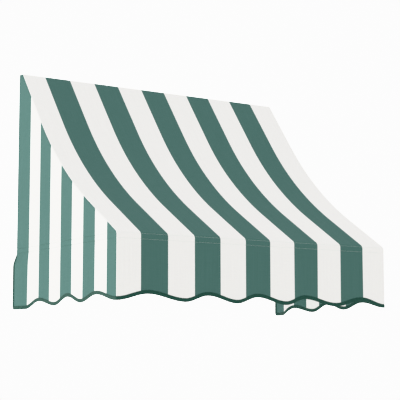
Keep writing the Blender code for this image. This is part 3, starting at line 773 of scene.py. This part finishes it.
def hem_stations():
    """(edge point, down) along one side's hem at x = 0: down the rear edge, round the lower corner and
    forward to the front corner.
    """
    rear = REAR_EDGE - HEM_CORNER
    flat_side = [Vector((0, REAR_EDGE, z)) for z in spaced(TAPE_TOP, side_hem(rear) + HEM_CORNER, 18)]
    flat_side += arc(Vector((0, rear, side_hem(rear) + HEM_CORNER)), HEM_CORNER, 0, -pi / 2, 6)
    front = roof_low.y + EDGE_ROUND
    flat_side += [Vector((0, y, side_hem(y))) for y in spaced(rear, front, 150)[1:]]
    one_side = []
    for i, point in enumerate(flat_side):
        run = (flat_side[min(i + 1, len(flat_side) - 1)] - flat_side[max(i - 1, 0)]).normalized()
        one_side.append((point, Vector((0, -run.z, run.y))))
    return one_side


def tape_station(i, one_side, side):
    point, down = one_side[i]
    return point + X * side * (HALF - HALF_CANVAS), X * side, down, side


def corner_stations(side):
    """The tape's turn round the upright front corner, from the side to the front."""
    centre = Vector((side * (HALF - EDGE_ROUND), roof_low.y + EDGE_ROUND, HEM_Z))
    for angle in (0, 22.5, 45, 67.5, 90):
        out = Vector((side * cos(radians(angle)), -sin(radians(angle)), 0))
        yield centre + out * (EDGE_ROUND - HALF_CANVAS), out, -Z, side if angle < 45 else 0


def front_stations():
    count = 300
    first = -HALF + EDGE_ROUND
    for x in spaced(first, -first, count)[1:]:
        slope = (front_hem(x + 0.001) - front_hem(x - 0.001)) / 0.002
        down = Vector((slope, 0, -1)).normalized()
        yield Vector((x, roof_low.y + HALF_CANVAS, front_hem(x))), -Y, down, 0


one_side = hem_stations()
left = [tape_station(i, one_side, -1) for i in range(len(one_side))] + list(corner_stations(-1))
right = [tape_station(i, one_side, 1) for i in range(len(one_side))] + list(corner_stations(1))
hem_route = left + list(front_stations()) + right[::-1]
print("stations round the hem:", len(hem_route))

# %% Fold the binding


def hung(point, side):
    """Moves a point of the flat cover as the cloth hangs there."""
    if side:
        return flared(point + X * side * side_shift(point.y, point.z), side)
    return point - Y * front_shift(point.x, point.z)


def fold_run():
    """The tape's outer face across the fold, as (out, down, distance) steps."""
    reach = HALF_CANVAS + 0.0001 + TAPE
    flat = [Vector((0, reach, -TAPE_LEG * share)) for share in (1, 0.8, 0.4)]
    return Run(flat + arc(Vector(), reach, 0, pi, 8) + [Vector((0, -p.y, p.z)) for p in flat[::-1]])


fold = fold_run()
fold_marks = fold.marks
hem_marks = [0.0]
for before, after in zip(hem_route, hem_route[1:]):
    hem_marks.append(hem_marks[-1] + (after[0] - before[0]).length)


def binding_lay(mark, station):
    """A point of the tape: mark is its distance across the fold, station its number along the hem."""
    edge, out, down, side = hem_route[station]
    point = fold.at(mark)[0]
    return hung(edge + out * point.y + down * point.z, side), (mark, hem_marks[station])


stations = list(range(len(hem_route)))
binding = cut_cloth("edge_binding_tape", fold_marks, stations, binding_lay, -X, binding_tape)
thicken(binding, TAPE)
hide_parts("edge_binding")
print("binding length:", round(hem_marks[-1], 3))

# %% [markdown]
# ## Stitches
#
# A lockstitch shows as a row of short thread beads, each sunk a little into the cloth. Every bead is a
# real shape here: a small icosphere, stretched along the seam. There are thousands, so each one has only
# twenty faces.
#
# A seam is a list of (point, outward direction). The beads are set along it at an even pitch. Two pale
# rows cross the front over and under the bar, two dark green rows cross each side, and one row holds the
# binding. The real side rows are the pale thread of the front. Their dark green here is painted shade
# of the grooves that they pull into the cloth.

# %% Sew
STITCH_PITCH = 0.0036
STITCH_LENGTH = 0.0029
THREAD_RADIUS = 0.00036


def sew(name, seams, material):
    """One piece with a bead of thread for each stitch of all the seams."""
    bm = bmesh.new()
    for seam in seams:
        run = Run([point for point, _ in seam])
        outs = [out for _, out in seam]
        for number in range(int(run.length / STITCH_PITCH)):
            place, direction = run.at((number + 0.5) * STITCH_PITCH)
            share = (number + 0.5) * STITCH_PITCH / run.length
            out = outs[min(int(share * len(outs)), len(outs) - 1)]
            crosswise = out.cross(direction).normalized()
            turn = Matrix((direction, crosswise, direction.cross(crosswise))).transposed().to_4x4()
            size = Matrix.Diagonal((STITCH_LENGTH / 2, THREAD_RADIUS, THREAD_RADIUS, 1))
            matrix = Matrix.Translation(place) @ turn @ size
            bmesh.ops.create_icosphere(bm, subdivisions=1, radius=1, matrix=matrix)
    piece = show(name, bm, material, 180)
    return piece


def front_seam(line):
    """A row across the front at a distance down the roof's cloth."""
    point, run = roof_run.at(line)
    outwards = Vector((0, run.z, -run.y))
    stand = outwards * THREAD_RADIUS * 0.3
    ends = HALF - 2 * EDGE_ROUND
    return [(roof_lay(x, line)[0] + stand, outwards) for x in spaced(-ends, ends, 200)]


def side_seam(side, row):
    front = roof_low.y + 3 * EDGE_ROUND
    ys = spaced(REAR_EDGE - 0.004, front, 160)
    return [(side_place(y, side_row(y, row), side) + X * side * THREAD_RADIUS * 0.2, X * side) for y in ys]


def binding_seam(inside):
    """The row that holds the tape, on its outer leg or on its inner one."""
    mark = TAPE_LEG * 0.22
    mark = fold.length - mark if inside else mark
    stand = -THREAD_RADIUS * 0.3 if inside else THREAD_RADIUS * 0.3
    row = []
    for station, (_, out, _, _) in enumerate(hem_route):
        row.append((binding_lay(mark, station)[0] + out * stand, -out if inside else out))
    return row


front_seams = [front_seam(line) for line in (UPPER_ROW, LOWER_ROW)]
front_rows = sew("front_stitches", front_seams, pale_thread)
for side, label in ((-1, "left"), (1, "right")):
    seams = [side_seam(side, row) for row in (0, 1)]
    # The side rows are dark green as painted shade of the grooves that they pull.
    sew(f"side_stitches_painted_groove_shade_{label}", seams, dark_thread_and_groove_shade)
binding_seams = [binding_seam(inside) for inside in (False, True)]
binding_rows = sew("binding_stitches", binding_seams, dark_thread_and_groove_shade)

# %% [markdown]
# ## Straps
#
# Inside the cover, straps of hook-and-loop webbing close round the tubes and hold the cloth to them.
# Each strap is sewn to the cover along one or both of its legs. It is cut flat as well: across, it runs
# along the leg, round the tube and along the other leg, and along, it follows the tube.

# %% Strap sections
WEBBING = 0.0011
CLOTH_IN = TUBE + 0.0003
STRAP_ROUND = CLOTH_IN + WEBBING / 2
STRAP_LEG = CLOTH_IN - 0.0003 - WEBBING / 2
LEG_NEAR, LEG_FAR = 0.0165, 0.026
FREE_END = 0.0115  # the head straps stand this far up behind the rail


def leg(angle, side):
    """A strap's leg on a cloth face whose outward normal has this angle, its far end first."""
    normal = Vector((cos(radians(angle)), sin(radians(angle)), 0))
    lies = Vector((-normal.y, normal.x, 0)) * side
    distances = (LEG_FAR, (LEG_FAR + LEG_NEAR) / 2, LEG_NEAR)
    return [normal * STRAP_LEG + lies * distance for distance in distances]


def round_tube(first, last, steps=24):
    """The part of a strap that hugs its tube, between two angles in degrees."""
    angles = [radians(first + (last - first) * i / steps) for i in range(steps + 1)]
    return [STRAP_ROUND * Vector((cos(angle), sin(angle), 0)) for angle in angles]


def smoothed(points):
    """The same run with its two sharp ends of the hug eased by one pass of averaging."""
    middle_points = [(a + 2 * b + c) / 4 for a, b, c in zip(points, points[1:], points[2:])]
    return [points[0], *middle_points, points[-1]]


def strap(name, section, place, length, sewn_at):
    """Webbing along a tube. place(point, distance) puts a section point in the air."""
    section_run = Run(smoothed(section))
    marks = section_run.marks
    along = spaced(0, length, max(int(length / 0.012), 2)) + [length]

    def lay(u, v):
        return place(section_run.at(u)[0], v), (u, v)

    piece = cut_cloth(f"{name}_webbing", marks, along, lay, Z, webbing)
    thicken(piece, WEBBING, 0)
    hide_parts(name)
    centre_line = [place(Vector(), v) for v in along]
    seams = []
    for mark in sewn_at:
        mark = mark if mark >= 0 else section_run.length + mark
        points = [place(section_run.at(mark)[0], v) for v in along]
        outs = [(centre - point).normalized() for centre, point in zip(centre_line, points)]
        seams.append([(point + out * WEBBING * 0.45, out) for point, out in zip(points, outs)])
    sewn = sew(f"{name}_stitches", seams, pale_thread)
    return [piece, sewn]


def beside(x_axis, y_axis, origin, run):
    """Section axes and the direction along a straight tube."""
    return lambda point, distance: origin + x_axis * point.x + y_axis * point.y + run * distance


rafter_run = Run(over_rafter(0))


def along_rafter(side, first):
    """The same along a rafter: sections stand square to its line."""

    def place(point, distance):
        centre, run = rafter_run.at(first + distance)
        normal = Vector((0, run.z, -run.y))
        return centre + X * (side * SIDE_X + side * -point.x) + normal * point.y

    return place


print("rafter length:", round(rafter_run.length, 3))

# %% Hang the straps
SEAM_IN = 0.003  # rows of stitches lie this far from a strap's edge
FRONT_STRAP = 0.880
HEAD_STRAP = 0.360
HEAD_STRAP_STARTS = (-0.390, 0.030)
RAFTER_STRAP_ENDS = (0.110, 0.135)  # this far from the head rail and from the front bar
front_part = leg(180, 1) + round_tube(-115, 20) + leg(90 + degrees(LOWER_SLOPE), -1)[::-1]
front_place = beside(Y, Z, BAR - X * FRONT_STRAP / 2, X)
roof_straps = strap("front_strap", front_part, front_place, FRONT_STRAP, (SEAM_IN, -SEAM_IN))
head_part = leg(90 + degrees(UPPER_SLOPE), 1) + round_tube(-165, 0) + [Vector((STRAP_ROUND, FREE_END, 0))]
for label, first in zip(("left", "right"), HEAD_STRAP_STARTS):
    head_place = beside(Y, Z, HEAD + X * first, X)
    roof_straps += strap(f"head_strap_{label}", head_part, head_place, HEAD_STRAP, (SEAM_IN,))

side_straps = {}
for side, label in ((-1, "left"), (1, "right")):
    inboard, shift = -X * side, X * side * SIDE_X
    rail_low, rail_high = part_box(f"side_rail_strap_{label}")
    wrap = leg(180, -1) + round_tube(110, -110) + leg(180, 1)[::-1]
    rail_start = Vector((0, rail_high.y, BAR.z)) + shift
    rail_place = beside(inboard, Z, rail_start, -Y)
    rail_length = rail_high.y - rail_low.y
    pieces = strap(f"side_rail_strap_{label}", wrap, rail_place, rail_length, (SEAM_IN, -SEAM_IN))
    post_low, post_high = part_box(f"wall_post_strap_{label}")
    hug = leg(180, 1) + round_tube(-110, 60)
    post_start = Vector((0, FOOT.y, post_low.z)) + shift
    post_place = beside(inboard, Y, post_start, Z)
    post_length = post_high.z - post_low.z
    pieces += strap(f"wall_post_strap_{label}", hug, post_place, post_length, (SEAM_IN,))
    cradle = leg(180, 1) + round_tube(-115, 20) + leg(90, -1)[::-1]
    reach = rafter_run.length - sum(RAFTER_STRAP_ENDS)
    rafter_place = along_rafter(side, RAFTER_STRAP_ENDS[0])
    pieces += strap(f"rafter_strap_{label}", cradle, rafter_place, reach, (SEAM_IN, -SEAM_IN))
    side_straps[label] = pieces
print("straps:", len(roof_straps) // 2 + sum(len(p) // 2 for p in side_straps.values()))

# %% [markdown]
# ## Tubes
#
# The frame is one inch steel tube. The straight ones are cut to length. The rafters are bent in one long
# bend. Each is drawn as an open pipe: a circle, extruded along the tube, and for a rafter spun round the
# bend's centre. Solidify gives it the wall.

# %% Pipes
TUBE_WALL = 0.00165
PIPE_SIDES = 40


def end_ring(bm, made):
    """The verts and edges at the new end of an extrusion or a spin."""
    verts = [item for item in made if isinstance(item, bmesh.types.BMVert)]
    edges = [item for item in made if isinstance(item, bmesh.types.BMEdge)]
    return verts, edges


def push(bm, edges, move):
    """Extrudes a ring of edges and moves the new ring. Returns the new ring's edges."""
    verts, edges = end_ring(bm, bmesh.ops.extrude_edge_only(bm, edges=edges)["geom"])
    bmesh.ops.translate(bm, verts=verts, vec=move)
    return [edge for edge in edges if all(vert in set(verts) for vert in edge.verts)]


def pipe_start(bm, centre, direction):
    """A circle round a tube's centre, square to it."""
    turn = Z.rotation_difference(direction).to_matrix().to_4x4()
    bmesh.ops.create_circle(bm, segments=PIPE_SIDES, radius=TUBE, matrix=Matrix.Translation(centre) @ turn)
    return list(bm.edges)


def finish_pipe(name, bm, centre):
    """Turns the pipe's faces outwards, gives it its wall and lets it stand for the CAD tube."""
    bmesh.ops.recalc_face_normals(bm, faces=bm.faces)
    bm.faces.ensure_lookup_table()
    if bm.faces[0].normal.dot(bm.faces[0].calc_center_median() - centre) < 0:
        bmesh.ops.reverse_faces(bm, faces=bm.faces)
    pipe = thicken(show(name, bm, white_coat, 60), TUBE_WALL)
    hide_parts(name.replace("_tube", ""))
    return pipe


def straight_pipe(node, axis):
    """A pipe as long as the CAD tube's box, along one of the frame's axes."""
    low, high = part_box(node)
    centre = (low + high) / 2
    length = (high - low).dot(axis)
    bm = bmesh.new()
    ring = pipe_start(bm, centre - axis * length / 2, axis)
    push(bm, ring, axis * length)
    return finish_pipe(f"{node}_tube", bm, centre)


HEAD_STUB = 0.0433
FRONT_STUB = 0.0493
BEND_STEPS = 28


def rafter_pipe(side, label):
    """A pipe down the rafter's line, between the cast corners at its ends."""
    shift = X * side * SIDE_X
    down = -slope_direction(UPPER_SLOPE)
    bm = bmesh.new()
    ring = pipe_start(bm, HEAD + shift + down * HEAD_STUB, down)
    ring = push(bm, ring, down * (upper_straight() - HEAD_STUB))
    geometry = ring + list({vert for edge in ring for vert in edge.verts})
    spun = bmesh.ops.spin(
        bm,
        geom=geometry,
        cent=BEND_CENTRE + shift,
        axis=X,
        angle=-SLOPE_CHANGE,
        steps=BEND_STEPS,
        use_duplicate=False,
    )
    ring = end_ring(bm, spun["geom_last"])[1]
    bend_end = sum((vert.co for edge in ring for vert in edge.verts), Vector()) / (2 * len(ring))
    last = (bend_end - BAR - shift).length - FRONT_STUB
    push(bm, ring, -slope_direction(LOWER_SLOPE) * last)
    return finish_pipe(f"rafter_{label}_tube", bm, HEAD + shift + down * HEAD_STUB)


pipes = [straight_pipe("head_rail", X), straight_pipe("front_bar", X)]
for side, label in ((-1, "left"), (1, "right")):
    pipes += [straight_pipe(f"wall_post_{label}", Z), straight_pipe(f"side_rail_{label}", Y)]
    pipes.append(rafter_pipe(side, label))
print("tubes:", len(pipes))

# %% [markdown]
# ## Cast corners
#
# The corners are castings: their arms meet in soft fillets where the sand mould was rounded. The CAD
# bodies have the right shape but sharp joints. So each one is copied, its loose triangles are merged, a
# Remesh modifier turns it into small even faces and a Smooth modifier melts the joints together.

# %% Cast corners
GRAIN = 0.0011
corners = []
for side, label in ((-1, "left"), (1, "right")):
    for place in ("head", "front", "wall"):
        node = f"{place}_corner_{label}"
        bm = bmesh.new()
        bm.from_mesh(frame["nodes"][node].data)
        bmesh.ops.remove_doubles(bm, verts=bm.verts, dist=1e-6)
        corner = show(f"{node}_casting", bm, cast_aluminium, 180)
        remesh = corner.modifiers.new("even faces", "REMESH")
        remesh.mode = "VOXEL"
        remesh.voxel_size = GRAIN
        remesh.use_smooth_shade = True
        soften = corner.modifiers.new("fillets", "SMOOTH")
        soften.factor = 0.5
        soften.iterations = 3
        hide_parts(node)
        corners.append(corner)
print("castings:", len(corners))

# %% [markdown]
# ## Screws
#
# Self-tapping pan head screws hold every joint. One is modelled well and copied: its side view is spun
# round its axis, and a cross recess is cut into the head. The copies are moved so that each head lies
# where the CAD screw's head lies.

# %% Model one screw
HEAD_RADIUS = 0.0042
HEAD_HEIGHT = 0.0026
SHANK_RADIUS = 0.0021
SHANK = 0.0100
RECESS = (0.0052, 0.00095, 0.0028)


def spun_screw():
    """A screw on +Z, its seat at the origin."""
    bm = bmesh.new()
    angles = [radians(degree) for degree in range(0, 90, 15)]
    dome = [(HEAD_RADIUS * cos(a), HEAD_HEIGHT * (0.35 + 0.65 * sin(a))) for a in angles]
    thread = [(SHANK_RADIUS * (0.82 if i % 2 else 1.0), -0.0006 * i) for i in range(1, 14)]
    side_view = [(0, HEAD_HEIGHT), *dome[::-1], (HEAD_RADIUS, 0), (SHANK_RADIUS, 0), *thread, (0, -SHANK)]
    line = [bm.verts.new((radius, 0, height)) for radius, height in side_view]
    edges = [bm.edges.new(pair) for pair in zip(line, line[1:])]
    bmesh.ops.spin(bm, geom=line + edges, axis=Z, cent=(0, 0, 0), angle=2 * pi, steps=20, use_merge=True)
    bmesh.ops.remove_doubles(bm, verts=bm.verts, dist=1e-5)
    bmesh.ops.recalc_face_normals(bm, faces=bm.faces)
    mesh = bpy.data.meshes.new("pan_head_screw")
    bm.to_mesh(mesh)
    bm.free()
    return bpy.data.objects.new("pan_head_screw", mesh)


def recess_cutter(turn):
    """One bar of the cross recess."""
    bm = bmesh.new()
    bmesh.ops.create_cube(bm, size=1.0)
    low = [vert for vert in bm.verts if vert.co.z < 0]
    bmesh.ops.scale(bm, verts=low, vec=(0.35, 0.6, 1))
    bmesh.ops.scale(bm, verts=bm.verts, vec=RECESS)
    bmesh.ops.translate(bm, verts=bm.verts, vec=Z * (HEAD_HEIGHT + 0.0001))
    bmesh.ops.rotate(bm, verts=bm.verts, matrix=Matrix.Rotation(turn, 3, "Z"))
    mesh = bpy.data.meshes.new("recess")
    bm.to_mesh(mesh)
    bm.free()
    return bpy.data.objects.new("recess", mesh)


def screw_mesh():
    """The spun screw with both bars of the recess cut out, as a plain mesh."""
    screw = spun_screw()
    cutters = [recess_cutter(turn) for turn in (0.0, pi / 2)]
    for thing in (screw, *cutters):
        bpy.context.scene.collection.objects.link(thing)
    for number, cutter in enumerate(cutters):
        cut = screw.modifiers.new(f"recess_{number}", "BOOLEAN")
        cut.operation = "DIFFERENCE"
        cut.object = cutter
    bpy.context.view_layer.update()
    mesh = bpy.data.meshes.new_from_object(screw.evaluated_get(bpy.context.evaluated_depsgraph_get()))
    for thing in (screw, *cutters):
        bpy.data.objects.remove(thing, do_unlink=True)
    return mesh


master_screw = screw_mesh()
print("faces of a screw:", len(master_screw.polygons))

# %% Set the screws


def screw_direction(node):
    """Which way a screw's head looks, read from where it sits."""
    if node.startswith(("head_rail", "head_bracket")):
        return -Z
    if node.startswith("front_bar"):
        return Y
    return X if middle(node).x < 0 else -X


screws = [node for node in frame["nodes"] if "_screw" in node]
for number, node in enumerate(sorted(screws)):
    low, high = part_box(node)
    direction = screw_direction(node)
    top = (low + high) / 2 + direction * abs((high - low).dot(direction)) / 2
    bm = bmesh.new()
    bm.from_mesh(master_screw)
    turn = Z.rotation_difference(direction).to_matrix().to_4x4() @ Matrix.Rotation(0.7 * number, 4, "Z")
    bm.transform(Matrix.Translation(top - direction * HEAD_HEIGHT) @ turn)
    screw = show(f"{node}_fine", bm, zinc_plate, 35)
    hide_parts(node)
print("screws set:", len(screws))

# %% [markdown]
# ## What the CAD model already shows well
#
# The brackets are flat plates with a rolled cradle. Their CAD bodies are kept as they are and only get
# their zinc plate.

# %% Finish the CAD nodes that still show
plates = [node for node in frame["nodes"].values() if "bracket" in node.name and not node.hide_render]
for plate in plates:
    plate.data.materials.clear()
    plate.data.materials.append(zinc_plate)
print("plates:", len(plates))

# %% [markdown]
# ## The sides' straps
#
# The roof is a rectangle as wide as the awning. The sides are not rectangles. The loop below only
# goes over each side's straps and does nothing with them.

# %% Side straps
for label, panel in sides.items():
    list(side_straps[label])

# %% [markdown]
# ## Floor, light and camera
#
# The awning hangs on a wall with its hem about two metres above the ground, so the floor lies that far
# below. The light is an even pale surround, with one large soft lamp on the left that makes the left
# side brighter than the front. The camera stands low in front, to the left, with a long lens.

# %% Floor
FLOOR_Z = HEM_Z - 2.0
bm = bmesh.new()
bmesh.ops.create_grid(bm, x_segments=1, y_segments=1, size=40, matrix=Matrix.Translation((0, 0, FLOOR_Z)))
floor_finish, floor_tree, floor_shader = new_finish("pale_floor", Roughness=0.9)
floor_place = add(floor_tree, "ShaderNodeTexCoord")[3]
floor_cloud = add(floor_tree, "ShaderNodeTexNoise", {"Vector": floor_place, "Scale": 0.8, "Detail": 3.0})[0]
floor_greys = {0: floor_cloud, 6: linear("#ececea"), 7: linear("#f2f2f0")}
floor_tint = add(floor_tree, "ShaderNodeMix", floor_greys, data_type="RGBA")[2]
plug(floor_tree, floor_tint, floor_shader, "Base Color")
floor_mesh = bpy.data.meshes.new("floor")
bm.to_mesh(floor_mesh)
bm.free()
floor_mesh.materials.append(floor_finish)
floor = bpy.data.objects.new("floor", floor_mesh)
bpy.context.scene.collection.objects.link(floor)
floor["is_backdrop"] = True
print("floor at", round(FLOOR_Z, 2))

# %% Surround and lamp
SURROUND = 1.0
BACKDROP = 3.0  # brightness behind the object, for the camera only
world = bpy.data.worlds.new("studio")
bpy.context.scene.world = world
world.use_nodes = True
sky = world.node_tree
sky.nodes.clear()
seen = add(sky, "ShaderNodeLightPath")["Is Camera Ray"]
soft = add(sky, "ShaderNodeBackground", {"Color": linear("#fffffe"), "Strength": SURROUND})
white = add(sky, "ShaderNodeBackground", {"Color": linear("#ffffff"), "Strength": BACKDROP})
both = add(sky, "ShaderNodeMixShader", {0: seen, 1: soft, 2: white})
add(sky, "ShaderNodeOutputWorld", {"Surface": both})


def soft_lamp(name, place, size, power):
    """A square lamp that looks at the middle of the awning."""
    lamp = bpy.data.lights.new(name, "AREA")
    lamp.size = size
    lamp.energy = power
    holder = bpy.data.objects.new(name, lamp)
    holder.location = place
    aim = (BAR + HEAD) / 2 - Vector(place)
    holder.rotation_euler = aim.to_track_quat("-Z", "Y").to_euler()
    bpy.context.scene.collection.objects.link(holder)


soft_lamp("key", (-6.5, -0.33, -0.23), 3.0, 224)
bpy.context.scene.view_settings.view_transform = "Khronos PBR Neutral"
bpy.context.scene.view_settings.look = "None"
print("surround", SURROUND)

# %% Camera
camera_data = bpy.data.cameras.new("camera")
camera_data.sensor_width = 36
camera_data.lens = 119.79
camera_data.clip_end = 200
camera = bpy.data.objects.new("camera", camera_data)
camera.location = (-2.4574, -3.9627, -0.8936)
camera.rotation_euler = (radians(90 + 6.856), 0, radians(-33.985))
bpy.context.scene.collection.objects.link(camera)
bpy.context.scene.camera = camera
print("camera", tuple(round(v, 2) for v in camera.location))

# %% The box over everything shown
low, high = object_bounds()
